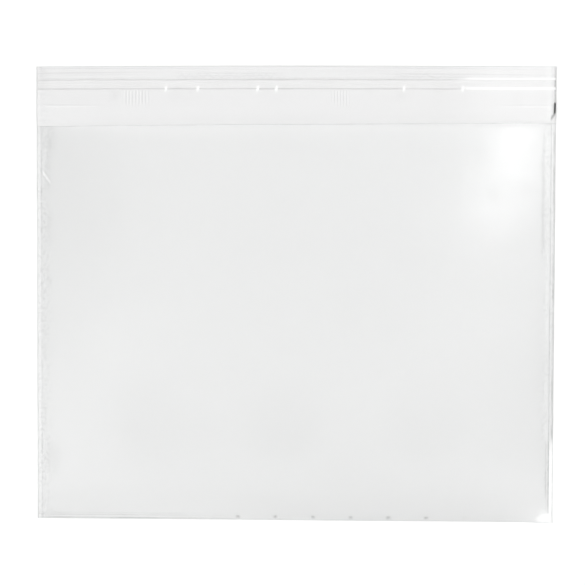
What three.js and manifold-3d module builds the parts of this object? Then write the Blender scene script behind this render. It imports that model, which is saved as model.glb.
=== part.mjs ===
// A clear self-seal bag of compostable film: one sheet folded at the bottom and welded down both sides,
// with a single-layer lip above the mouth, a stripe of adhesive across the lip and a release liner over it.
// Millimetres. X runs across the bag, Y from the bottom fold to the lip's edge, Z up from the table.
// The bag lies on its back panel with a little air in it, so its mouth stands slightly open.
import * as THREE from "three";
import { mergeVertices } from "three/addons/utils/BufferGeometryUtils.js";
import Module from "manifold-3d";

const wasm = await Module();
wasm.setup();

// Film
const FILM = 0.05; // thickness of one layer

// Bag
const INSIDE_WIDTH = 327; // between the side welds
const BODY_HEIGHT = 254; // bottom fold to mouth
const LIP_HEIGHT = 38; // mouth to the lip's edge
const LIP_CREASE = 12.2; // soft crease where the lip folds over, above the mouth
const FOLD_RADIUS = 0.1; // outside radius of the bottom fold

// Side welds
const WELD_WIDTH = 3; // fused band down each side
const BEAD_WIDTH = 0.6; // melted bead that the hot knife leaves on the very edge, lip and all
const BEAD_HEIGHT = 0.25;

// Air in the bag
const BELLY_GAP = 8; // widest gap between the panels
const MOUTH_GAP = 6.5; // gap in the middle of the mouth
const BELLY_RISE = 120; // length over which the gap opens, up from the fold
const MOUTH_FALL = 70; // length over which it narrows to the mouth
const CREASE_LIFT = 0.6; // how far the lip stands off the table along its crease

// Adhesive stripe and release liner on the lip's inner face
const LINER_WIDTH = 14.7;
const LINER_FILM = 0.05;
const FINGER_LIFT = 8.6; // liner with no adhesive under it, down from the lip's edge
const ADHESIVE_FILM = 0.04;
const BEAD_CLEARANCE = 0.3; // between the ends of both strips and the beads

// Mesh
const COLUMN_STEP = 12; // widest mesh column
const ROW_STEP = 14; // tallest mesh row
const FOLD_ROWS = 3; // mesh rows round each half of the fold

const WIDTH = INSIDE_WIDTH + 2 * WELD_WIDTH;
const HEIGHT = BODY_HEIGHT + LIP_HEIGHT;
const LEFT = -WIDTH / 2;
const RIGHT = WIDTH / 2;
const FOLD = -HEIGHT / 2;
const MOUTH = FOLD + BODY_HEIGHT;
const LIP_EDGE = HEIGHT / 2;
const CREASE = MOUTH + LIP_CREASE;
const ADHESIVE_TOP = LIP_EDGE - FINGER_LIFT;
const LINER_FOOT = LIP_EDGE - LINER_WIDTH;
const STRIP_LENGTH = WIDTH - 2 * (BEAD_WIDTH + BEAD_CLEARANCE);
const CLOSED_GAP = 2 * (FOLD_RADIUS - FILM); // gap where the panels meet at a weld or the fold
const FOLD_INSIDE = FOLD + FILM;
const FOLD_TOP = FOLD + FOLD_RADIUS; // where the panels leave the fold's curve

// Evenly spaced stops from one value to another, no further apart than the step.
function stops(from, to, step) {
  const count = Math.ceil((to - from) / step);
  return Array.from({ length: count + 1 }, (_, i) => from + ((to - from) * i) / count);
}

function smooth(t) {
  const s = THREE.MathUtils.clamp(t, 0, 1);
  return s * s * (3 - 2 * s);
}

// Gap between the panels at a point of the body: closed at the welds and the fold, open at the mouth.
function gap(x, y) {
  const across = 1 - Math.min(Math.abs(x) / (INSIDE_WIDTH / 2), 1) ** 4;
  const rise = 1 - (1 - THREE.MathUtils.clamp((y - FOLD_TOP) / BELLY_RISE, 0, 1)) ** 3;
  const fall = smooth((y - (MOUTH - MOUTH_FALL)) / MOUTH_FALL);
  const belly = THREE.MathUtils.lerp(BELLY_GAP, MOUTH_GAP, fall);
  return CLOSED_GAP + (belly - CLOSED_GAP) * across * rise;
}

// Height of the lip's underside over the table: flat at the liner and at the mouth, raised at the crease.
function lipLift(x, y) {
  const reach = y > CREASE ? LINER_FOOT - CREASE : CREASE - MOUTH;
  return CREASE_LIFT * (1 - smooth(Math.abs(y - CREASE) / reach));
}

// Closed slab over a grid, from one height function up to another.
function slab(xs, ys, bottom, top) {
  const points = [];
  for (const height of [bottom, top]) {
    for (const y of ys) {
      for (const x of xs) {
        points.push(x, y, height(x, y));
      }
    }
  }
  const columns = xs.length;
  const layer = columns * ys.length;
  const faces = [];
  const quad = (a, b, c, d) => faces.push(a, b, c, a, c, d);
  for (let j = 0; j < ys.length - 1; j++) {
    for (let i = 0; i < columns - 1; i++) {
      const p = j * columns + i;
      quad(p, p + columns, p + columns + 1, p + 1);
      quad(layer + p, layer + p + 1, layer + p + columns + 1, layer + p + columns);
    }
  }
  const wall = (p, q) => quad(p, q, q + layer, p + layer);
  for (let i = 0; i < columns - 1; i++) {
    const last = (ys.length - 1) * columns;
    wall(i, i + 1);
    wall(last + i + 1, last + i);
  }
  for (let j = 0; j < ys.length - 1; j++) {
    wall((j + 1) * columns, j * columns);
    wall(j * columns + columns - 1, (j + 1) * columns + columns - 1);
  }
  const geometry = new THREE.BufferGeometry();
  geometry.setAttribute("position", new THREE.Float32BufferAttribute(points, 3));
  geometry.setIndex(faces);
  return geometry;
}

function solid(geometry) {
  const merged = mergeVertices(geometry);
  return new wasm.Manifold(
    new wasm.Mesh({
      numProp: 3,
      vertProperties: merged.attributes.position.array,
      triVerts: new Uint32Array(merged.index.array),
    }),
  );
}

function geometryOf(made) {
  const mesh = made.getMesh();
  const geometry = new THREE.BufferGeometry();
  geometry.setAttribute("position", new THREE.BufferAttribute(mesh.vertProperties, 3));
  geometry.setIndex(new THREE.BufferAttribute(mesh.triVerts, 1));
  geometry.computeVertexNormals();
  return geometry;
}

function clearPlastic(opacity) {
  return new THREE.MeshStandardMaterial({
    color: 0xe6e8e7,
    roughness: 0.12,
    metalness: 0,
    transparent: true,
    opacity,
    side: THREE.DoubleSide,
  });
}

// Columns from edge to edge, with the flanks of the melted bead close together at both sides.
function columnsBetweenBeads(inside) {
  const bead = [0, BEAD_WIDTH / 2, BEAD_WIDTH];
  return [...bead.map((d) => LEFT + d), ...inside, ...bead.map((d) => RIGHT - d).reverse()];
}

// Rows round the half circle of the fold, from its end up to where it meets the flat panels.
function foldRows(end, radius) {
  const turn = (k) => ((Math.PI / 2) * (k + 0.5)) / (FOLD_ROWS + 0.5);
  return Array.from({ length: FOLD_ROWS }, (_, k) => end + radius * (1 - Math.cos(turn(k))));
}

// Half the height of the fold's curve at a row, without limit above the curve.
function foldHalf(y, end, radius) {
  const fromEnd = y - end;
  return fromEnd < radius ? Math.sqrt(radius ** 2 - (radius - fromEnd) ** 2) : Infinity;
}

// Thickness of the film at a point across the bag, from its layers up to the top of the bead.
function thickness(x, layers) {
  const fromPeak = Math.abs(WIDTH / 2 - Math.abs(x) - BEAD_WIDTH / 2);
  const bead = Math.max(0, 1 - fromPeak / (BEAD_WIDTH / 2));
  return THREE.MathUtils.lerp(layers * FILM, BEAD_HEIGHT, bead);
}

// Outside of the body: two layers and the air between them, fused along the welds and rounded at the fold.
function makeBody(columns, rows) {
  const inWeld = (x) => Math.abs(x) > INSIDE_WIDTH / 2;
  const half = (y) => foldHalf(y, FOLD, FOLD_RADIUS);
  const bottom = (x, y) => Math.max(0, FOLD_RADIUS - half(y));
  const panels = (x, y) => thickness(x, 2) + (inWeld(x) ? 0 : gap(x, y));
  const top = (x, y) => Math.min(panels(x, y), FOLD_RADIUS + half(y));
  return solid(slab(columnsBetweenBeads(columns), [...foldRows(FOLD, FOLD_RADIUS), ...rows], bottom, top));
}

// Space between the panels, from the inside of the fold out through the mouth.
function makePocket(columns, rows) {
  const radius = FOLD_RADIUS - FILM;
  const half = (y) => foldHalf(y, FOLD_INSIDE, radius);
  const bottom = (x, y) => Math.max(FILM, FOLD_RADIUS - half(y));
  const top = (x, y) => Math.min(FILM + gap(x, y), FOLD_RADIUS + half(y));
  const through = [...foldRows(FOLD_INSIDE, radius), ...rows, MOUTH + ROW_STEP];
  return solid(slab(columns, through, bottom, top));
}

// Single layer above the mouth. It starts a film's thickness below the mouth, in the back panel.
function makeLip() {
  const rows = [MOUTH - FILM, ...stops(MOUTH, LINER_FOOT, LIP_CREASE / 3), LIP_EDGE];
  const top = (x, y) => lipLift(x, y) + thickness(x, 1);
  return solid(slab(columnsBetweenBeads([]), rows, lipLift, top));
}

// One sheet, folded and welded: back panel, front panel and lip, with the pocket open at the mouth.
function makeBagFilm() {
  const columns = stops(-INSIDE_WIDTH / 2, INSIDE_WIDTH / 2, COLUMN_STEP);
  const rows = stops(FOLD_TOP, MOUTH, ROW_STEP);
  const sheet = makeBody(columns, rows).subtract(makePocket(columns, rows)).add(makeLip());
  return new THREE.Mesh(geometryOf(sheet), clearPlastic(0.35));
}

// Thin flat strip across the lip, from a height on the sheet to another and of a given thickness.
function makeStrip(foot, top, level, film, opacity) {
  const strip = new THREE.BoxGeometry(STRIP_LENGTH, top - foot, film);
  strip.deleteAttribute("normal");
  strip.deleteAttribute("uv");
  strip.translate(0, (top + foot) / 2, level + film / 2);
  return new THREE.Mesh(geometryOf(solid(strip)), clearPlastic(opacity));
}

function makeAdhesive() {
  return makeStrip(LINER_FOOT, ADHESIVE_TOP, FILM, ADHESIVE_FILM, 0.4);
}

function makeLiner() {
  return makeStrip(LINER_FOOT, LIP_EDGE, FILM + ADHESIVE_FILM, LINER_FILM, 0.3);
}

const bag = new THREE.Group();
const pieces = {
  bag_film: makeBagFilm(),
  adhesive_strip: makeAdhesive(),
  release_liner: makeLiner(),
};
for (const [name, mesh] of Object.entries(pieces)) {
  mesh.name = name;
  bag.add(mesh);
}

export default bag;
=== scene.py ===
"""A clear self-seal bag of compostable film, lying on its back panel under soft light.

Metres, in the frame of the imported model: X across the bag, Y from the bottom fold to the lip's edge,
Z up from the table.
"""
import math

import bpy
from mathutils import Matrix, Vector, noise


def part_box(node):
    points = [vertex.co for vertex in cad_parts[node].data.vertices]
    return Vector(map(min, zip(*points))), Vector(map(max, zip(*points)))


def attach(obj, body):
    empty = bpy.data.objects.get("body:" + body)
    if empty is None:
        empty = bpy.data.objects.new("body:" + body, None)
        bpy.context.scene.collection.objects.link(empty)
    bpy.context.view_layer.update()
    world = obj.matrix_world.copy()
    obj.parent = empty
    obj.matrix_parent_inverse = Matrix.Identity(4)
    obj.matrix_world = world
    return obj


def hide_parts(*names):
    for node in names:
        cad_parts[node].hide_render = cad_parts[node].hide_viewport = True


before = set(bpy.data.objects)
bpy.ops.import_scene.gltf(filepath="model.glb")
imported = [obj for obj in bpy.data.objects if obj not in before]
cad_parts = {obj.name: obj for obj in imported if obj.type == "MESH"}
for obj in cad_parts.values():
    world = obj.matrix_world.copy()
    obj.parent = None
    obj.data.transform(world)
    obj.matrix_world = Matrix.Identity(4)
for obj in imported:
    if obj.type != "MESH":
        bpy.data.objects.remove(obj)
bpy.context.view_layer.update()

MM = 0.001

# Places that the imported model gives
FILM_LOW, FILM_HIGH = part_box("bag_film")
STRIPE_LOW, STRIPE_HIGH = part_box("adhesive_strip")
LINER_LOW, LINER_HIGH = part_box("release_liner")
HALF_WIDTH = FILM_HIGH.x
FOLD = FILM_LOW.y
LIP_EDGE = FILM_HIGH.y

# The sheet
FILM = 0.05 * MM
BODY_HEIGHT = 254 * MM
WELD_WIDTH = 3 * MM
LIP_CREASE = 12.2 * MM
FOLD_RADIUS = 0.1 * MM
BEAD_RADIUS = 0.27 * MM
AIR = 0.01 * MM  # between layers that touch
LIP_BOW = 0.6 * MM  # the lip's edge is a little higher in the middle
MOUTH_RISE = 0.9 * MM  # the front panel's edge lies a little higher in the middle than its plain height
MOUTH_SKEW = 1.1 * MM  # and is higher on the right and lower on the left
MOUTH_SHIFT_REACH = 80 * MM  # how far down the panel that slant is taken up
CORNER_CURL = 1.5 * MM  # the fold's right-hand end stands up a little
CURL_REACH = 9 * MM  # up from the fold
CURL_START = 146 * MM  # where along the fold the curl starts, and over what length it grows
CURL_RUN = 12 * MM
FOLD_RIDGES = ((1.3, 0.02), (3.0, 0.04), (4.6, 0.03))  # pressed ridges: place over the fold and height in mm
SEAM_PUCKER = 0.16 * MM

# Air in the bag
BELLY_GAP = 8 * MM
MOUTH_GAP = 6.5 * MM
BELLY_RISE = 120 * MM
MOUTH_FALL = 70 * MM

# Waves of the film
PANEL_WAVE = 0.45 * MM
PANEL_SMALL_WAVE = 0.12 * MM
MOUTH_CURL = 0.35 * MM
BACK_WAVE = 0.11 * MM
LIP_WAVE = 0.16 * MM
LIP_END_CURL = 0.5 * MM
CREASE_LIFT = 0.6 * MM
CREASE_RIDGE = 0.12 * MM
COMB_WRINKLE = 0.06 * MM

# Stripe and liner
STRIPE_FILM = 0.03 * MM
LINER_FILM = 0.05 * MM
STRIPE_WANDER = 0.12 * MM  # of its long edges
LINER_LOOSE = 0.10 * MM  # ripples above the stripe
LINER_EDGE_LIFT = 0.25 * MM
LINER_FOOT_LIFT = 0.12 * MM
ZIGZAG_RIDGE = 0.05 * MM
ZIGZAG_PITCH = 4.4 * MM
ZIGZAG_RISE = 3.2 * MM

# What one face of the film lets through
BODY_TONE = (0.9763, 0.9770, 0.9767, 1)
LIP_TONE = (0.9545, 0.9545, 0.9545, 1)
LINED_TONE = (0.9632, 0.9632, 0.9632, 1)

# Gloss and clearness of the finishes, each a share from 0 to 1
FILM_GLOSS = 0.035
BONDED_GLOSS = 0.015  # where the film has the stripe's adhesive on it
FILM_ROUGHNESS = 0.22
FILM_HAZE = 0.01
STRIPE_GLOSS = 0.003
STRIPE_ROUGHNESS = 0.2
LINER_GLOSS = 0.008
LINER_ROUGHNESS = 0.12
GRAZING_GLOSS = 0.6  # added gloss at the flattest view
GRAZING_TONE = 0.8  # what a face lets through at the flattest view, as a share of its tone
DARK_MARK = 0.22  # what a full dark mark takes from a face's tone
MOTTLE = 0.05  # strength of the small dark spots beside the welds
HAZE_COLOUR = (0.9, 0.92, 0.91, 1)
TABLE_GLOW = 0.12  # what the camera sees on top of the light on the table, and on the wall
WALL_GLOW = 0.9

# Bump of the finishes
FILM_RIPPLE = 0.09 * MM
STRIPE_RIPPLE = 0.02 * MM
LINER_RIPPLE = 0.05 * MM

# Mesh
FOLD_TURNS = 4
STRIP_ROW = 0.3 * MM
STRIP_COLUMN = 0.8 * MM
STRIP_FINE_COLUMN = 0.4 * MM
BEAD_SIDES = 10
BEAD_CUT = 2 * MM  # between the rings of a bead

# Marks
FIRST_DOT = -36.3 * MM
DOT_PITCH = 24.3 * MM
DOTS = 7
DOT_HEIGHT = 2.3 * MM  # over the fold
DOT_HALF_WIDTH = 2.1 * MM
DOT_HALF_HEIGHT = 1.5 * MM
DOT_DARK = 0.5
LAST_DOT_DARK = 0.2
FOLD_LINES = ((0.9, 0.24), (2.7, 0.15), (4.0, 0.12))  # dark lines over the fold: place in mm, depth
BURNS = (  # the knife's burn on the lip's right-hand edge: from, to and soft end in mm, how dark
    (123, 139, 1, 0.28),
    (116.5, 122.5, 0.8, 3.4),
)
COMBS = ((-102, 10, 2.1), (29, 7, 1.9))  # combs of wrinkles in the lip: place, reach and pitch in mm
ZIGZAGS = ((-80, -4), (58, 114))  # stretches of fine zigzag wrinkles in the liner, in mm
SPECKS = (-83, -62.5, -24, -12, 69.5, 107)  # bubbles at the liner's foot, in mm, drawn bright as painted highlights
TICK = (-160, 75, 6.2, 1.1, -54)  # crease by the left-hand weld, with a painted highlight on it and painted shade on its flanks: place, half length, half width, turn
HOOK = (164.2, 114.4, 3.2, 1.0, 62)  # small dark crease in the lip's right-hand edge
CORNER_PAINTED_HIGHLIGHT = (163, -143.5, 9.5, 4.6, 0)  # painted highlight where the fold's right-hand end catches the light
PAINTED_SHADE_PATCHES = (  # painted shade: soft patches drawn a little darker, for the shade of the film's hollows: place, half sizes, turn, depth
    (-140, 60, 40, 60, 0, 0.009),
    (-96, -79, 34, 34, 0, 0.012),
    (-7, -81, 34, 34, 0, 0.016),
    (87, -77, 34, 34, 0, 0.012),
    (-150, -137, 45, 12, 0, 0.016),
    (60, -138, 130, 9, 0, 0.012),
    (-157, 100, 4.5, 11, 0, 0.03),
    (-156, -106, 7, 14, 0, 0.03),
)
PAINTED_LIGHT_PATCHES = (  # painted light: soft patches drawn a little lighter, for the light on the film's rises
    (-95, -25, 60, 30, 25, 0.03),
    (-150, -80, 16, 60, 0, 0.05),
    (-60, -118, 90, 13, 0, 0.04),
    (100, -115, 90, 12, -6, 0.05),
    (142, -122, 30, 24, 0, 0.06),
)

# The photo's view
VIEW_ANGLE = 21.313  # degrees across the picture
CAMERA_TILT = (-2.193, 1.719, 0.175)  # degrees off straight down
CAMERA_AIM = (-1.36 * MM, 1.40 * MM, 0)
CAMERA_DISTANCE = 1.0

# The table, and the rises of the wall round it with how much wider each makes it
TABLE_RADIUS = 3.6
WALL_RISES = ((0.1, 1.08), (0.3, 1.05), (1.1, 1.01))

# The sky's greys: at its lowest, and then by height from 0 to 1
LOW_SKY = 0.5
SKY_GREYS = ((0.25, 0.10), (0.86, 0.10), (1.0, 0.55))

# Lamps: suns by direction, height, strength and width in degrees, panels by place, width, depth and energy
SUNS = (
    ("key", 150, 42, 1.84, 24),
    ("fill", 330, 42, 1.32, 24),
)
PANELS = (
    ("softbox", (0.6, 0.255, 1.2), 0.42, 0.27, 0.72),
    ("bright_panel", (0.525, 0.25, 1.2), 0.2, 0.16, 0.55),
    ("side_panel", (0.62, 0.02, 1.2), 0.6, 0.36, 0.2),
    ("left_panel", (-0.9, -0.5, 1.2), 1.0, 0.9, 1.7),
)

INSIDE = HALF_WIDTH - WELD_WIDTH
MOUTH = FOLD + BODY_HEIGHT
CREASE = MOUTH + LIP_CREASE
LINER_FOOT = LINER_LOW.y
STRIPE_TOP = STRIPE_HIGH.y
FOLD_TOP = FOLD + FOLD_RADIUS
CLOSED_GAP = 2 * (FOLD_RADIUS - FILM)


def clamp(value):
    return min(max(value, 0.0), 1.0)


def smooth(value):
    t = clamp(value)
    return t * t * (3 - 2 * t)


def mix(a, b, t):
    return a + (b - a) * t


def stops(start, end, step):
    """Evenly spaced places from start to end, no further apart than the step."""
    count = max(1, math.ceil(abs(end - start) / step - 1e-6))
    return [mix(start, end, i / count) for i in range(count + 1)]


def chain(*runs):
    """Joins runs of places that each start where the one before ends."""
    places = list(runs[0])
    for run in runs[1:]:
        places += run[1:]
    return places


def hills(x, y, across, along, seed):
    """Smooth hills and hollows, from about -1 to 1, as wide and long as given."""
    return 1.6 * noise.noise(Vector((x / across, y / along, seed)))


def bump_at(value, centre, width):
    """1 at the centre, falling to 0 at the given distance from it."""
    return smooth(1 - abs(value - centre) / width)


def between(value, low, high, soft):
    """1 from low to high, falling to 0 over the soft distance outside them."""
    return smooth((value - low) / soft + 1) * smooth((high - value) / soft + 1)


def spot(x, y, centre_x, centre_y, half_length, half_width, turn):
    """1 in the middle of a long spot, 0 outside it. The spot's sizes are in mm, its turn in degrees."""
    angle = math.radians(turn)
    dx = x / MM - centre_x
    dy = y / MM - centre_y
    lengthways = (dx * math.cos(angle) + dy * math.sin(angle)) / half_length
    crossways = (dy * math.cos(angle) - dx * math.sin(angle)) / half_width
    return smooth(2 * (1 - math.hypot(lengthways, crossways)))


# Shape of the film

def weld_share(x):
    """1 inside the bag, 0 in the side welds."""
    return smooth((HALF_WIDTH - WELD_WIDTH * 0.8 - abs(x)) / (WELD_WIDTH * 0.4))


def closed_gap(x):
    return mix(AIR, CLOSED_GAP, weld_share(x))


def openness(x, y):
    """0 at the welds and the fold, 1 in the belly of the bag."""
    across = 1 - min(abs(x) / INSIDE, 1) ** 4
    rise = 1 - (1 - clamp((y - FOLD_TOP) / BELLY_RISE)) ** 3
    return across * rise


def gap(x, y):
    """Gap between the panels."""
    fall = smooth((y - (MOUTH - MOUTH_FALL)) / MOUTH_FALL)
    belly = mix(BELLY_GAP, MOUTH_GAP, fall)
    return closed_gap(x) + (belly - CLOSED_GAP) * openness(x, y)


def seam_pucker(x, y, seed):
    """Short wrinkles that run inwards from the side welds."""
    inside = INSIDE - abs(x)
    if inside < 0:
        return 0.0
    side = 1 if x > 0 else -1
    reach = math.exp(-inside / (7 * MM)) * smooth(inside / (2 * MM))
    return SEAM_PUCKER * reach * hills(side, y, 1, 5 * MM, seed)


def fold_press(y):
    """Fine ridges beside the bottom fold, where the sheet was pressed."""
    ridge = 0.0
    for place, height in FOLD_RIDGES:
        ridge += height * MM * bump_at(y, FOLD + place * MM, 0.7 * MM)
    return ridge


def corner_curl(x, y):
    """How far the fold's right-hand end stands up from the table."""
    return CORNER_CURL * smooth(1 - (y - FOLD) / CURL_REACH) * smooth((x - CURL_START) / CURL_RUN)


def mouth_shift(x, y):
    """How far the front panel's rows are shifted, so that its edge runs a little askew."""
    share = smooth((y - (MOUTH - MOUTH_SHIFT_REACH)) / MOUTH_SHIFT_REACH)
    return share * (MOUTH_RISE + MOUTH_SKEW * x / HALF_WIDTH)


def front_height(x, y):
    """Inner face of the front panel over the table."""
    free = openness(x, y)
    waves = PANEL_WAVE * hills(x, y, 62 * MM, 48 * MM, 3.1)
    waves += PANEL_SMALL_WAVE * hills(x, y, 19 * MM, 23 * MM, 7.7)
    curl = MOUTH_CURL * smooth((y - (MOUTH - 2.5 * MM)) / (2.5 * MM))
    pucker = seam_pucker(x, y, 2.3)
    lifted = gap(x, y) + (waves + curl) * free + abs(pucker) * smooth((y - FOLD) / (8 * MM))
    return FILM + AIR + lifted + fold_press(y) * weld_share(x) + corner_curl(x, y)


def back_height(x, y):
    """Inner face of the back panel over the table."""
    free = openness(x, y)
    waves = 0.04 * MM + BACK_WAVE * (1 + hills(x, y, 55 * MM, 60 * MM, 11.4))
    return FILM + AIR + waves * free + corner_curl(x, y)


def comb(x, y):
    """Combs of fine upright wrinkles between the liner and the crease, from -1 to 1."""
    height = 0.0
    for centre, reach, pitch in COMBS:
        mask = between(x, (centre - reach + 4) * MM, (centre + reach - 4) * MM, 4 * MM)
        if mask > 0:
            height += mask * math.sin(2 * math.pi * x / (pitch * MM))
    along = smooth((LINER_FOOT - y) / (1.5 * MM)) * smooth((y - CREASE + 1 * MM) / (5 * MM))
    return height * along


def lip_painted_highlight(x, y):
    """Painted highlights on the lip's layers, where they are drawn clear: at the right along the stripe and
    the liner, at bubbles, and more towards the right-hand end.
    """
    right_end = smooth((x - 106 * MM) / (5 * MM))
    clear = 0.85 * right_end * bump_at(y, STRIPE_TOP + 0.7 * MM, 1.2 * MM)
    clear += right_end * bump_at(y, LINER_FOOT + 0.7 * MM, 1.4 * MM)
    clear += sum(spot(x, y, speck, LINER_FOOT / MM + 0.5, 2.4, 1.2, 75) for speck in SPECKS)
    # painted highlight that grows towards the lip's right-hand end
    return clear + 0.2 * smooth((x - 92 * MM) / (34 * MM))


def lip_height(x, y):
    """Top face of the lip over the table, which the stripe and the liner lie on."""
    reach = LINER_FOOT - CREASE if y > CREASE else CREASE - MOUTH
    lift = CREASE_LIFT * (1 - smooth(abs(y - CREASE) / reach))
    crease = CREASE_RIDGE * bump_at(y, CREASE, 1.2 * MM)
    away = smooth((y - MOUTH) / (6 * MM))
    waves = LIP_WAVE * (1 + hills(x, y, 46 * MM, 17 * MM, 5.2)) * away
    right_end = smooth((x - HALF_WIDTH + 4 * MM) / (4 * MM))
    right_curl = LIP_END_CURL * right_end * smooth((y - MOUTH - 8 * MM) / (10 * MM))
    return FILM + AIR + lift + crease + waves + right_curl + COMB_WRINKLE * (1 + comb(x, y))


def weld_marks(x, y):
    """How dark and clear the film is beside the side welds, with painted shade where the film curves down to
    the left-hand weld, painted shade and a painted highlight at a crease, and a painted highlight along the
    lower right-hand weld.
    """
    side = 1 if x > 0 else -1
    inside = INSIDE - abs(x)
    along = hills(side, y, 1, 9 * MM, 12.5)
    fine = hills(side, y, 1, 3 * MM, 15.1)
    dark = max(0.0, (0.03 if side < 0 else 0.10) + 0.07 * fine) * bump_at(inside, 0.0, 0.6 * MM)
    if side < 0:
        # painted shade where the film curves down towards the left-hand weld
        streak = max(0.0, 0.02 + 0.035 * along) * bump_at(inside, 5.2 * MM, 2.6 * MM)
        dark += streak * between(y, 10 * MM, MOUTH, 9 * MM)
        # painted shade on the crease's flanks
        dark += 0.07 * spot(x, y, *TICK[:2], TICK[2] + 1, TICK[3] + 1.6, TICK[4])
        clear = max(0.0, 0.22 + 0.15 * fine) * between(inside, -2.2 * MM, -0.9 * MM, 0.3 * MM)
        # painted highlight on the crease
        return dark, clear + spot(x, y, *TICK)
    low_end = smooth((-90 * MM - y) / (6 * MM))
    dark *= 1 + low_end
    dark += max(0.0, 0.1 + 0.1 * fine) * low_end * bump_at(inside, 1.7 * MM, 0.6 * MM)
    dark += 0.07 * bump_at(inside, 4.9 * MM, 1.6 * MM) * between(y, 34 * MM, 92 * MM, 14 * MM)
    dark += (0.12 + 0.08 * along) * (1 - low_end) * between(inside, -2.9 * MM, -1.6 * MM, 0.4 * MM)
    dark += 0.9 * spot(x, y, *HOOK)
    clear = (0.2 + 0.1 * along) * (1 - low_end) * between(inside, 0.6 * MM, 2.6 * MM, 0.7 * MM)
    # painted highlight along the lower part of the right-hand weld
    clear += 0.9 * low_end * between(inside, -2.2 * MM, -0.6 * MM, 0.3 * MM)
    return dark, max(0.0, clear)


def patches(x, y, places):
    return sum(depth * spot(x, y, *place) for *place, depth in places)


def scorching(y):
    """How far the knife burnt the lip's right-hand edge: dark beside the strips, black just below them."""
    return sum(dark * between(y, low * MM, high * MM, soft * MM) for low, high, soft, dark in BURNS)


def fold_dots(x, y):
    """Small pressed dots beside the fold, evenly spaced in its middle part."""
    dark = 0.0
    for number in range(DOTS):
        across = bump_at(x, FIRST_DOT + number * DOT_PITCH, DOT_HALF_WIDTH)
        if across > 0:
            depth = DOT_DARK if number < DOTS - 1 else LAST_DOT_DARK
            dark += across * bump_at(y, FOLD + DOT_HEIGHT, DOT_HALF_HEIGHT) * depth
    return dark


def sheet_marks(x, row):
    """How dark, clear and glossy the sheet is: its cut edges, welds, creases and pressed dots. Some of the
    dark and clear marks are painted shade and painted highlights.
    """
    part, place = row
    if part == "fold":
        return 0.5, 0.0, 0.0
    y = place
    dark, clear = weld_marks(x, y)
    rough = 0.5 + 0.5 * hills(x, y, 13 * MM, 6 * MM, 21.0)
    if part == "front":
        dark += 0.5 * bump_at(y, MOUTH, 0.45 * MM) * (0.6 + 0.5 * rough)
        # painted soft shade just below the front panel's edge
        dark += 0.06 * bump_at(y, MOUTH - 0.5 * MM, 1.5 * MM) * rough
        dark += fold_dots(x, y)
    dark += 0.006 * hills(x, y, 90 * MM, 90 * MM, 81.0)
    if part != "lip":
        left_end = 0.3 + 0.7 * smooth((-30 * MM - x) / (60 * MM))
        for distance, depth in FOLD_LINES:
            dark += depth * bump_at(y, FOLD + distance * MM, 0.45 * MM) * (0.5 + rough) * left_end
        # painted shade of the film's hollows here; painted light of its rises goes into the clear mark below
        dark += patches(x, y, PAINTED_SHADE_PATCHES)
        # painted highlight: the fold's lifted right-hand end is drawn clear, and its dark marks are taken
        # away
        lifted = 0.85 * spot(x, y, *CORNER_PAINTED_HIGHLIGHT) * smooth((y - FOLD) / (0.5 * MM))
        return dark * (1 - lifted), max(clear, lifted) + patches(x, y, PAINTED_LIGHT_PATCHES), 0.0
    along = smooth((LINER_FOOT - y) / (1.5 * MM)) * smooth((y - CREASE) / (7 * MM))
    # painted shade on one side of each comb wrinkle and a painted highlight on the other
    dark += 0.18 * max(0.0, comb(x, y)) + 0.1 * max(0.0, hills(x, y, 8 * MM, 14 * MM, 31.0) - 0.35) * along
    clear += 0.5 * max(0.0, -comb(x, y))
    ends = smooth((-abs(x) + HALF_WIDTH) / (8 * MM)) * smooth((abs(x) - 120 * MM) / (25 * MM))
    # painted shade just above the lip's crease and a painted highlight on it, towards both ends
    dark += 0.11 * ends * bump_at(y, CREASE + 1.3 * MM, 0.7 * MM)
    clear += 0.55 * ends * bump_at(y, CREASE + 0.2 * MM, 0.8 * MM)
    dark += 0.25 * bump_at(y, LIP_EDGE, 0.4 * MM)
    dark += scorching(y) * smooth((x - HALF_WIDTH + 1.9 * MM) / (0.5 * MM))
    return dark, clear + lip_painted_highlight(x, y), 0.0


def lip_edge_bow(x, y):
    """The lip's edge bows up a little in the middle."""
    share = smooth((y - CREASE) / (LIP_EDGE - CREASE))
    return LIP_BOW * share * (1 - (x / HALF_WIDTH) ** 2)


# Modelling

def start_fresh():
    if bpy.context.object and bpy.context.object.mode != "OBJECT":
        bpy.ops.object.mode_set(mode="OBJECT")
    bpy.ops.object.select_all(action="DESELECT")


def lay_grid(name, columns, rows, place, marks):
    """A grid whose lines go through the columns and rows, each point laid where place(x, row) says.

    marks(x, row) says how dark, clear and glossy the film is there, each from 0 to 1.
    """
    start_fresh()
    across = len(columns) - 1
    along = len(rows) - 1
    bpy.ops.mesh.primitive_grid_add(x_subdivisions=across, y_subdivisions=along, size=1)
    piece = bpy.context.object
    piece.name = name
    piece.data.name = name
    # the dark and clear marks hold painted shade and painted highlights as well as the film's own marks
    layers = [piece.data.attributes.new(mark, "FLOAT", "POINT") for mark in ("dark", "clear", "glint")]
    for point in piece.data.vertices:
        x = columns[round((point.co.x + 0.5) * across)]
        row = rows[round((point.co.y + 0.5) * along)]
        point.co = place(x, row)
        for layer, value in zip(layers, marks(x, row)):
            layer.data[point.index].value = value
    bpy.ops.object.shade_smooth()
    return piece


def thicken(piece, thickness, offset):
    """Gives a laid sheet its thickness, on the side that the offset says."""
    wall = piece.modifiers.new("thickness", "SOLIDIFY")
    wall.thickness = thickness
    wall.offset = offset
    bpy.ops.object.modifier_apply(modifier=wall.name)


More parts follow.
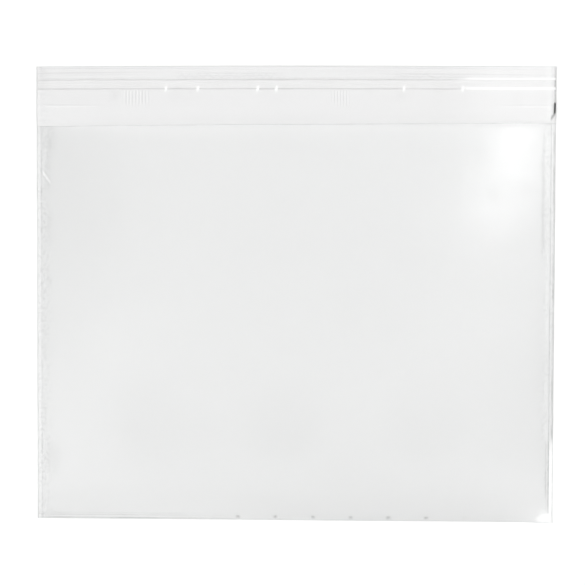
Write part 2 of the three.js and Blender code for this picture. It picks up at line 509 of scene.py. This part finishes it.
def sheet_columns():
    edge = HALF_WIDTH - BEAD_RADIUS
    weld = stops(-edge, -INSIDE + 1.2 * MM, 0.3 * MM)
    near = stops(-INSIDE + 1.2 * MM, -INSIDE + 7 * MM, 0.6 * MM)
    further = stops(-INSIDE + 7 * MM, -INSIDE + 13 * MM, 1.5 * MM)
    middle = stops(-INSIDE + 13 * MM, INSIDE - 13 * MM, 5 * MM)
    left = chain(weld, near, further)
    columns = chain(left, middle, [-x for x in reversed(left)])
    for number in range(DOTS):
        dot = FIRST_DOT + number * DOT_PITCH
        columns += [dot + step * MM for step in (-1.8, -0.7, 0, 0.7, 1.8)]
    for centre, reach, pitch in COMBS:
        columns += stops((centre - reach) * MM, (centre + reach) * MM, pitch * MM / 4)
    for speck in SPECKS:
        columns += [(speck + step) * MM for step in (-1.2, -0.4, 0.4, 1.2)]
    columns.sort()
    kept = columns[:1]
    for x in columns[1:]:
        if x - kept[-1] > 0.28 * MM:
            kept.append(x)
    kept[-1] = columns[-1]
    return kept


def sheet_rows():
    """The sheet's rows, from the front panel's mouth round the fold to the lip's edge."""
    front = chain(
        stops(MOUTH, MOUTH - 1.5 * MM, 0.3 * MM),
        stops(MOUTH - 1.5 * MM, MOUTH - 6 * MM, 1.2 * MM),
        stops(MOUTH - 6 * MM, 82 * MM, 3 * MM),
        stops(82 * MM, 68 * MM, 1 * MM),
        stops(68 * MM, FOLD + 12 * MM, 3 * MM),
        stops(FOLD + 12 * MM, FOLD + 5 * MM, 1.8 * MM),
        stops(FOLD + 5 * MM, FOLD_TOP, 0.33 * MM),
    )
    back = chain(
        stops(FOLD_TOP, FOLD + 5 * MM, 0.8 * MM),
        stops(FOLD + 5 * MM, MOUTH, 10 * MM),
    )
    lip = chain(
        stops(MOUTH, CREASE - 3 * MM, 1.5 * MM),
        stops(CREASE - 3 * MM, CREASE + 3 * MM, 0.5 * MM),
        stops(CREASE + 3 * MM, LINER_FOOT - 1 * MM, 1.5 * MM),
        stops(LINER_FOOT - 1 * MM, LINER_FOOT + 2.2 * MM, 0.4 * MM),
        stops(LINER_FOOT + 2.2 * MM, STRIPE_TOP - 0.6 * MM, 1.2 * MM),
        stops(STRIPE_TOP - 0.6 * MM, STRIPE_TOP + 2 * MM, 0.45 * MM),
        stops(STRIPE_TOP + 2 * MM, LIP_EDGE - 0.8 * MM, 1.2 * MM),
        stops(LIP_EDGE - 0.8 * MM, LIP_EDGE, 0.2 * MM),
    )
    turn = [math.pi * (k + 1) / (FOLD_TURNS + 1) for k in range(FOLD_TURNS)]
    rows = [("front", y) for y in front]
    rows += [("fold", angle) for angle in turn]
    rows += [("back", y) for y in back]
    rows += [("lip", y) for y in lip[1:]]
    return rows


def lay_sheet_point(x, row):
    part, place = row
    if part == "front":
        return (x, place + mouth_shift(x, place), front_height(x, place))
    if part == "back":
        return (x, place, back_height(x, place))
    if part == "lip":
        return (x, place + lip_edge_bow(x, place), lip_height(x, place))
    radius = closed_gap(x) / 2
    level = FILM + AIR + radius + corner_curl(x, FOLD)
    return (x, FOLD_TOP - radius * math.sin(place), level + radius * math.cos(place))


def bead_marks(side, y):
    """The right-hand bead is thicker, darker and more uneven, most of all beside the stripe and the liner."""
    uneven = 0.5 + 0.5 * hills(side, y, 1, 3.5 * MM, 71.0)
    if side < 0:
        return 0.1 + 0.15 * uneven, 0.0
    above = smooth((y + 90 * MM) / (20 * MM))
    dark = 0.1 + 0.7 * smooth((uneven - 0.4) / 0.5) * above + scorching(y)
    return dark, 0.75 * smooth((0.42 - uneven) / 0.15) * above


def make_bead(side):
    """The melted bead down one side edge: a thin rod, uneven as the hot knife leaves it."""
    start_fresh()
    length = LIP_EDGE - FOLD
    x = side * (HALF_WIDTH - BEAD_RADIUS)
    middle = (LIP_EDGE + FOLD) / 2
    bpy.ops.mesh.primitive_cylinder_add(
        vertices=BEAD_SIDES,
        radius=BEAD_RADIUS,
        depth=length,
        location=(x, middle, BEAD_RADIUS),
        rotation=(math.pi / 2, 0, 0),
    )
    bpy.ops.object.transform_apply(location=True, rotation=True, scale=True)
    piece = bpy.context.object
    bpy.ops.object.mode_set(mode="EDIT")
    for cut in stops(FOLD, LIP_EDGE, BEAD_CUT)[1:-1]:
        bpy.ops.mesh.select_all(action="SELECT")
        bpy.ops.mesh.bisect(plane_co=(x, cut, 0), plane_no=(0, 1, 0))
    bpy.ops.object.mode_set(mode="OBJECT")
    dark = piece.data.attributes.new("dark", "FLOAT", "POINT")
    clear = piece.data.attributes.new("clear", "FLOAT", "POINT")
    for point in piece.data.vertices:
        y = point.co.y
        dark.data[point.index].value, clear.data[point.index].value = bead_marks(side, y)
        size = 1 + 0.22 * hills(side, y, 1, 6 * MM, 9.3)
        drift = 0.1 * MM * hills(side, y, 1, 23 * MM, 1.7)
        lift = max(0.0, lip_height(x, y) - FILM) if y > MOUTH else corner_curl(x, y)
        point.co.x = x + (point.co.x - x) * size + drift * 0.5
        point.co.z = max(0.0, BEAD_RADIUS * 0.8 + (point.co.z - BEAD_RADIUS) * size * 0.8) + lift
    bpy.ops.object.shade_smooth()
    return piece


def make_film():
    film = lay_grid("film_sheet", sheet_columns(), sheet_rows(), lay_sheet_point, sheet_marks)
    thicken(film, FILM, -1)
    film.data.materials.append(film_finish())
    beads = [make_bead(side) for side in (-1, 1)]
    start_fresh()
    for piece in [film, *beads]:
        piece.select_set(True)
    bpy.context.view_layer.objects.active = film
    bpy.ops.object.join()
    return film


def strip_columns(fine_zones=()):
    """Columns from end to end of a strip, closer together in the fine zones."""
    end = STRIPE_HIGH.x
    columns = []
    start = -end
    for low, high in fine_zones:
        coarse = stops(start, low * MM, STRIP_COLUMN)
        fine = stops(low * MM, high * MM, STRIP_FINE_COLUMN)
        columns = chain(columns or [start], coarse, fine)
        start = high * MM
    return chain(columns or [start], stops(start, end, STRIP_COLUMN))


def stripe_height(x, y):
    return lip_height(x, y) + AIR


def make_stripe():
    """The adhesive: its long edges wander a little and are darker than its middle."""
    def place(x, y):
        wander = STRIPE_WANDER * hills(x, 0, 9 * MM, 1, 4.4)
        edge = 1 if y > (STRIPE_LOW.y + STRIPE_TOP) / 2 else -1
        return (x, y + wander * edge + lip_edge_bow(x, y), stripe_height(x, y))

    def marks(x, y):
        rough = 0.5 + 0.5 * hills(x, 0, 17 * MM, 1, 41.0)
        fine = 0.5 + 0.5 * hills(x, y, 30 * MM, 0.7 * MM, 43.0)
        faint = 1 - 0.8 * smooth((x - 98 * MM) / (14 * MM))
        dark = (0.3 + 0.4 * rough) * faint * bump_at(y, STRIPE_TOP, 0.45 * MM)
        dark += (0.12 + 0.3 * rough) * faint * bump_at(y, STRIPE_LOW.y + 0.2 * MM, 0.45 * MM)
        return dark + 0.06 * fine, lip_painted_highlight(x, y), 0.0

    rows = stops(STRIPE_LOW.y + 0.2 * MM, STRIPE_TOP, STRIP_ROW)
    stripe = lay_grid("stripe", strip_columns(), rows, place, marks)
    thicken(stripe, STRIPE_FILM, 1)
    stripe.data.materials.append(stripe_finish())
    return stripe


def liner_height(x, y):
    """Underside of the liner: on the stripe, and a little loose above it where a finger lifts it."""
    loose = smooth((y - STRIPE_TOP) / (1.5 * MM))
    ripples = LINER_LOOSE * (1 + hills(x, y, 70 * MM, 1.6 * MM, 6.1)) * loose
    zigzag = ZIGZAG_RIDGE * (1 + liner_zigzag(x, y)) * loose
    edge = LINER_EDGE_LIFT * smooth((y - LIP_EDGE + 1.5 * MM) / (1.5 * MM))
    foot = LINER_FOOT_LIFT * smooth((LINER_FOOT + 0.9 * MM - y) / (0.9 * MM))
    return lip_height(x, y) + STRIPE_FILM + 2 * AIR + ripples + zigzag + edge + foot


def liner_zigzag(x, y):
    """Fine zigzag wrinkles above the stripe, from 1 to -1, in two stretches of the liner; the marks draw
    painted shade where it reaches 1 and a painted highlight where it reaches -1.
    """
    where = sum(between(x, (low + 9) * MM, (high - 9) * MM, 9 * MM) for low, high in ZIGZAGS)
    if where == 0:
        return 0.0
    turn = ZIGZAG_PITCH * (1 + 0.15 * hills(x, 0, 30 * MM, 1, 61.0))
    phase = (x / turn) % 1
    ridge = STRIPE_TOP + 0.7 * MM + ZIGZAG_RISE * abs(2 * phase - 1)
    return where * (bump_at(y, ridge, 0.5 * MM) - bump_at(y, ridge + 0.8 * MM, 0.6 * MM))


def make_liner():
    """The liner: streaked and rippled above the stripe, with light on the stripe's edge and its own foot."""
    def place(x, y):
        return (x, y + lip_edge_bow(x, y), liner_height(x, y))

    def marks(x, y):
        rough = 0.5 + 0.5 * hills(x, 0, 21 * MM, 1, 51.0)
        loose = smooth((y - STRIPE_TOP) / (0.8 * MM))
        streak = max(0.0, hills(x, y, 90 * MM, 0.9 * MM, 53.0)) * loose
        faint = 1 - 0.9 * smooth((x - 98 * MM) / (14 * MM))
        dark = 0.25 * bump_at(y, LIP_EDGE, 0.4 * MM)
        dark += (0.1 + 0.3 * rough) * faint * bump_at(y, LINER_FOOT, 0.45 * MM)
        glint = 0.1 * bump_at(y, STRIPE_TOP + 0.5 * MM, 0.6 * MM)
        glint += 0.06 * bump_at(y, LINER_FOOT + 0.7 * MM, 0.8 * MM)
        zig = liner_zigzag(x, y)
        # painted shade and painted highlight on the two sides of the zigzag wrinkles
        dark += 0.2 * max(0.0, zig)
        glint += 0.03 * max(0.0, -hills(x, y, 90 * MM, 0.9 * MM, 53.0)) * loose
        smudge = 0.03 * smooth((-x - 158 * MM) / (3 * MM)) * (0.4 + rough)
        return dark + 0.14 * streak + smudge, 0.6 * max(0.0, -zig) + lip_painted_highlight(x, y), glint

    rows = stops(LINER_FOOT, LIP_EDGE, STRIP_ROW)
    liner = lay_grid("liner", strip_columns(ZIGZAGS), rows, place, marks)
    thicken(liner, LINER_FILM, 1)
    liner.data.materials.append(liner_finish())
    return liner


# Finishes

class Finish:
    """A new material and short ways to add and link its nodes."""

    def __init__(self, name):
        self.material = bpy.data.materials.new(name)
        self.material.use_nodes = True
        self.tree = self.material.node_tree
        self.tree.nodes.clear()

    def add(self, kind, inputs=None, **settings):
        node = self.tree.nodes.new(kind)
        for key, value in settings.items():
            setattr(node, key, value)
        for key, value in (inputs or {}).items():
            if isinstance(value, bpy.types.NodeSocket):
                self.tree.links.new(value, node.inputs[key])
            else:
                node.inputs[key].default_value = value
        return node

    def math(self, operation, first, second=0.5, clamped=False):
        node = self.add("ShaderNodeMath", {0: first, 1: second}, operation=operation, use_clamp=clamped)
        return node.outputs[0]

    def grain(self, place, scale, detail, roughness):
        """Flat noise across the sheet, from 0 to 1."""
        inputs = {"Vector": place, "Scale": scale, "Detail": detail, "Roughness": roughness}
        return self.add("ShaderNodeTexNoise", inputs, noise_dimensions="2D").outputs[0]

    def times_plus(self, value, factor, added, clamped=False):
        inputs = {0: value, 1: factor, 2: added}
        return self.add("ShaderNodeMath", inputs, operation="MULTIPLY_ADD", use_clamp=clamped).outputs[0]

    def bump(self, height, distance):
        inputs = {"Strength": 1.0, "Distance": distance, "Height": height}
        return self.add("ShaderNodeBump", inputs).outputs[0]

    def blend(self, share, first, second):
        return self.add("ShaderNodeMix", {0: share, 6: first, 7: second}, data_type="RGBA").outputs[2]

    def ramp(self, value, low, high, low_out, high_out):
        inputs = {"Value": value, "From Min": low, "From Max": high, "To Min": low_out, "To Max": high_out}
        return self.add("ShaderNodeMapRange", inputs, clamp=True, interpolation_type="SMOOTHSTEP").outputs[0]


def mark(finish, name):
    return finish.add("ShaderNodeAttribute", attribute_name=name).outputs["Fac"]


def light_let_through(finish, tone, shine, haze):
    """What the plastic passes on to its shadow: its tone, less what its gloss and haze keep back."""
    passed = finish.math("SUBTRACT", 1.0, shine, clamped=True)
    passed = finish.math("MULTIPLY", passed, 1 - haze)
    shade = finish.add("ShaderNodeVectorMath", {0: tone, "Scale": passed}, operation="SCALE")
    return finish.add("ShaderNodeBsdfTransparent", {"Color": shade.outputs[0]}).outputs[0]


def clear_shader(finish, normal, tint, dark, gloss, roughness, haze=0.0):
    """Clear plastic: tinted see-through, a little haze, and gloss that grows towards the grazing view."""
    facing = finish.add("ShaderNodeLayerWeight", {"Blend": 0.5}).outputs["Facing"]
    grazing = finish.math("POWER", facing, 5)
    # the clear mark turns the tone white: clear film, and painted highlights
    plain = finish.math("SUBTRACT", 1.0, mark(finish, "clear"), clamped=True)
    mirror_share = finish.math("MULTIPLY", plain, gloss)
    shine = finish.times_plus(grazing, GRAZING_GLOSS, mirror_share)
    edge = finish.ramp(facing, 0.6, 0.95, 1.0, GRAZING_TONE)
    left = finish.times_plus(dark, -DARK_MARK, 1.0, clamped=True)
    share = finish.math("MULTIPLY", edge, left)
    tone = finish.add("ShaderNodeVectorMath", {0: tint, "Scale": share}, operation="SCALE")
    tone = finish.blend(plain, (1, 1, 1, 1), tone.outputs[0])
    through = finish.add("ShaderNodeBsdfTransparent", {"Color": tone})
    milk = {"Base Color": HAZE_COLOUR, "Specular IOR Level": 0.0}
    milky = finish.add("ShaderNodeBsdfPrincipled", milk)
    body = finish.add("ShaderNodeMixShader", {0: haze, 1: through.outputs[0], 2: milky.outputs[0]})
    polish = {"Color": (1, 1, 1, 1), "Roughness": roughness, "Normal": normal}
    mirror = finish.add("ShaderNodeBsdfAnisotropic", polish)
    both = finish.add("ShaderNodeMixShader", {0: shine, 1: body.outputs[0], 2: mirror.outputs[0]})
    shaded = light_let_through(finish, tone, shine, haze)
    is_shadow = finish.add("ShaderNodeLightPath").outputs["Is Shadow Ray"]
    surface = finish.add("ShaderNodeMixShader", {0: is_shadow, 1: both.outputs[0], 2: shaded})
    finish.add("ShaderNodeOutputMaterial", {"Surface": surface.outputs[0]})


def weld_mottle(finish, grains, across):
    """Small dark spots in the film beside both side welds."""
    beside = finish.ramp(finish.math("ABSOLUTE", across), INSIDE - 11 * MM, INSIDE - 2 * MM, 0.0, 1.0)
    return finish.math("MULTIPLY", finish.ramp(grains, 0.5, 0.68, 0.0, 1.0), beside)


def film_finish():
    finish = Finish("clear_film")
    place = finish.add("ShaderNodeTexCoord").outputs["Object"]
    split = finish.add("ShaderNodeSeparateXYZ", {0: place}).outputs
    along = split["Y"]
    slant = (-MOUTH_SKEW / HALF_WIDTH, 1, 0)
    askew = finish.add("ShaderNodeVectorMath", {0: place, 1: slant}, operation="DOT_PRODUCT").outputs["Value"]
    lip = finish.ramp(askew, MOUTH + MOUTH_RISE, MOUTH + MOUTH_RISE + 0.3 * MM, 0.0, 1.0)
    lined = finish.ramp(along, LINER_FOOT, LINER_FOOT + 0.3 * MM, 0.0, 1.0)
    tint = finish.blend(lip, BODY_TONE, LIP_TONE)
    tint = finish.blend(lined, tint, LINED_TONE)
    fine = finish.grain(place, 480, 0, 0.5)
    normal = finish.bump(finish.grain(place, 90, 0, 0.5), FILM_RIPPLE)
    below_top = finish.ramp(along, STRIPE_TOP - 0.3 * MM, STRIPE_TOP, 1.0, 0.0)
    bonded = finish.math("MULTIPLY", lined, below_top)
    gloss = finish.times_plus(bonded, BONDED_GLOSS - FILM_GLOSS, FILM_GLOSS)
    mottle = weld_mottle(finish, fine, split["X"])
    dark = finish.times_plus(mottle, MOTTLE, mark(finish, "dark"))
    clear_shader(finish, normal, tint, dark, gloss, FILM_ROUGHNESS, FILM_HAZE)
    return finish.material


def streaked_finish(name, stretch, scale, detail, roughness, darkest, ripple):
    """A clear finish with streaks along the bag's width. Gives it with the streaks' tint and bump."""
    finish = Finish(name)
    place = finish.add("ShaderNodeTexCoord").outputs["Object"]
    flow = finish.add("ShaderNodeMapping", {"Vector": place, "Scale": (stretch, 1, 1)}).outputs[0]
    streaks = finish.grain(flow, scale, detail, roughness)
    tint = finish.add("ShaderNodeValToRGB", {0: streaks})
    tint.color_ramp.elements[0].color = darkest
    tint.color_ramp.elements[1].color = (1.0, 1.0, 1.0, 1)
    return finish, tint.outputs[0], finish.bump(streaks, ripple)


def stripe_finish():
    darkest = (0.9995, 0.999, 0.998, 1)
    finish, tint, normal = streaked_finish("clear_adhesive", 0.12, 900, 3, 0.6, darkest, STRIPE_RIPPLE)
    clear_shader(finish, normal, tint, mark(finish, "dark"), STRIPE_GLOSS, STRIPE_ROUGHNESS)
    return finish.material


def liner_finish():
    darkest = (0.994, 0.994, 0.994, 1)
    finish, tint, normal = streaked_finish("clear_liner", 0.08, 700, 4, 0.65, darkest, LINER_RIPPLE)
    gloss = finish.math("ADD", mark(finish, "glint"), LINER_GLOSS)
    clear_shader(finish, normal, tint, mark(finish, "dark"), gloss, LINER_ROUGHNESS)
    return finish.material


# Studio

def table_finish():
    """White, with a little glow of its own, more on the wall, so that it stays white in the picture."""
    finish = Finish("white_table")
    ray = finish.add("ShaderNodeLightPath").outputs
    seen = finish.math("MAXIMUM", ray["Is Camera Ray"], ray["Is Glossy Ray"])
    seen = finish.math("MAXIMUM", seen, ray["Is Transmission Ray"])
    surface = finish.add("ShaderNodeBsdfDiffuse", {"Color": (0.9, 0.9, 0.9, 1)})
    facing = finish.add("ShaderNodeNewGeometry").outputs["Normal"]
    upward = finish.add("ShaderNodeSeparateXYZ", {0: facing}).outputs["Z"]
    strength = finish.math("MULTIPLY", seen, finish.ramp(upward, 0.3, 0.98, WALL_GLOW, TABLE_GLOW))
    glow = finish.add("ShaderNodeEmission", {"Color": (1, 1, 1, 1), "Strength": strength})
    total = finish.add("ShaderNodeAddShader", {0: surface.outputs[0], 1: glow.outputs[0]})
    finish.add("ShaderNodeOutputMaterial", {"Surface": total.outputs[0]})
    return finish.material


def make_table():
    """Floor and a low round wall behind and around it, in one sweep."""
    start_fresh()
    bpy.ops.mesh.primitive_circle_add(vertices=96, radius=TABLE_RADIUS, fill_type="NGON")
    table = bpy.context.object
    table.name = "table"
    bpy.ops.object.mode_set(mode="EDIT")
    bpy.ops.mesh.select_all(action="SELECT")
    for rise, grow in WALL_RISES:
        bpy.ops.mesh.region_to_loop()
        bpy.ops.mesh.extrude_region_move(TRANSFORM_OT_translate={"value": (0, 0, rise)})
        bpy.ops.transform.resize(value=(grow, grow, 1), center_override=(0, 0, 0))
    bpy.ops.object.mode_set(mode="OBJECT")
    bpy.ops.object.shade_smooth()
    table.data.materials.append(table_finish())


def make_sky():
    """Plain soft light from all round, brightest overhead."""
    world = bpy.data.worlds.new("soft_light")
    bpy.context.scene.world = world
    world.use_nodes = True
    nodes, links = world.node_tree.nodes, world.node_tree.links
    nodes.clear()
    place = nodes.new("ShaderNodeTexCoord")
    height = nodes.new("ShaderNodeSeparateXYZ")
    links.new(place.outputs["Generated"], height.inputs[0])
    ramp = nodes.new("ShaderNodeValToRGB")
    links.new(height.outputs["Z"], ramp.inputs[0])
    for place_on_ramp, grey in SKY_GREYS:
        stop = ramp.color_ramp.elements.new(place_on_ramp)
        stop.color = (grey, grey, grey, 1)
    ramp.color_ramp.elements[0].color = (LOW_SKY, LOW_SKY, LOW_SKY, 1)
    background = nodes.new("ShaderNodeBackground")
    links.new(ramp.outputs[0], background.inputs["Color"])
    output = nodes.new("ShaderNodeOutputWorld")
    links.new(background.outputs[0], output.inputs[0])


def add_sun(name, azimuth, elevation, strength, spread):
    bpy.ops.object.light_add(type="SUN")
    lamp = bpy.context.object
    lamp.name = name
    lamp.data.energy = strength
    lamp.data.angle = math.radians(spread)
    lamp.rotation_euler = (math.radians(90 - elevation), 0, math.radians(azimuth))


def add_panel(name, place, width, depth, energy):
    """A flat lamp that faces straight down."""
    bpy.ops.object.light_add(type="AREA", location=place)
    lamp = bpy.context.object
    lamp.name = name
    lamp.data.shape = "RECTANGLE"
    lamp.data.size = width
    lamp.data.size_y = depth
    lamp.data.energy = energy


def add_camera():
    """The photo's view: straight down from a metre, a hair off upright."""
    bpy.ops.object.camera_add(rotation=[math.radians(angle) for angle in CAMERA_TILT])
    camera = bpy.context.object
    camera.name = "camera"
    camera.data.sensor_width = 36
    camera.data.lens = camera.data.sensor_width / 2 / math.tan(math.radians(VIEW_ANGLE / 2))
    back = camera.rotation_euler.to_matrix() @ Vector((0, 0, 1))
    camera.location = Vector(CAMERA_AIM) + back * CAMERA_DISTANCE
    bpy.context.scene.camera = camera


add_camera()

film = make_film()
stripe = make_stripe()
liner = make_liner()
for piece, node, slot in (
    (film, "bag_film", "film"),
    (stripe, "adhesive_strip", "adhesive"),
    (liner, "release_liner", "liner"),
):
    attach(piece, "root")
    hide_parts(node)

make_table()
make_sky()
for sun in SUNS:
    add_sun(*sun)
for panel in PANELS:
    add_panel(*panel)

scene = bpy.context.scene
scene.view_settings.view_transform = "Standard"
scene.cycles.transparent_max_bounces = 48
